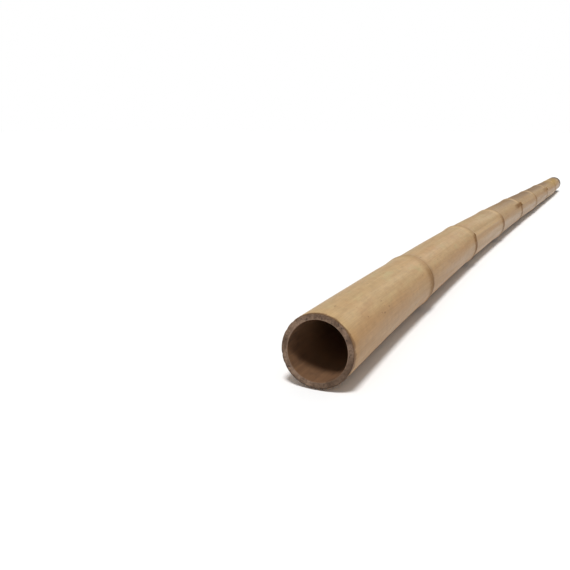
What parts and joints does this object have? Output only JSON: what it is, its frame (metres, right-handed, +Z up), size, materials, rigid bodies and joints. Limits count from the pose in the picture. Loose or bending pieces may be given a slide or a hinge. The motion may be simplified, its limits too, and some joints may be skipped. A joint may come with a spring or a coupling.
{
  "type": "bamboo cane",
  "caption": "Dry bamboo cane lying on its side: a hollow, tapered, slightly bowed culm with ridged nodes, grooves above the buds and sawn ends.",
  "frame": {"origin": "on the floor, under the middle of the cane's bounding box", "axes": "+X along the cane from the butt (thick end) to the tip, +Z up from the floor it lies on, +Y to the side that the cane bows towards"},
  "size_m": [2.405, 0.0998, 0.0858],
  "materials": {
    "dry_culm": "satin"
  },
  "bodies": {
    "root": {"culm": "dry_culm"}
  },
  "joints": []
}
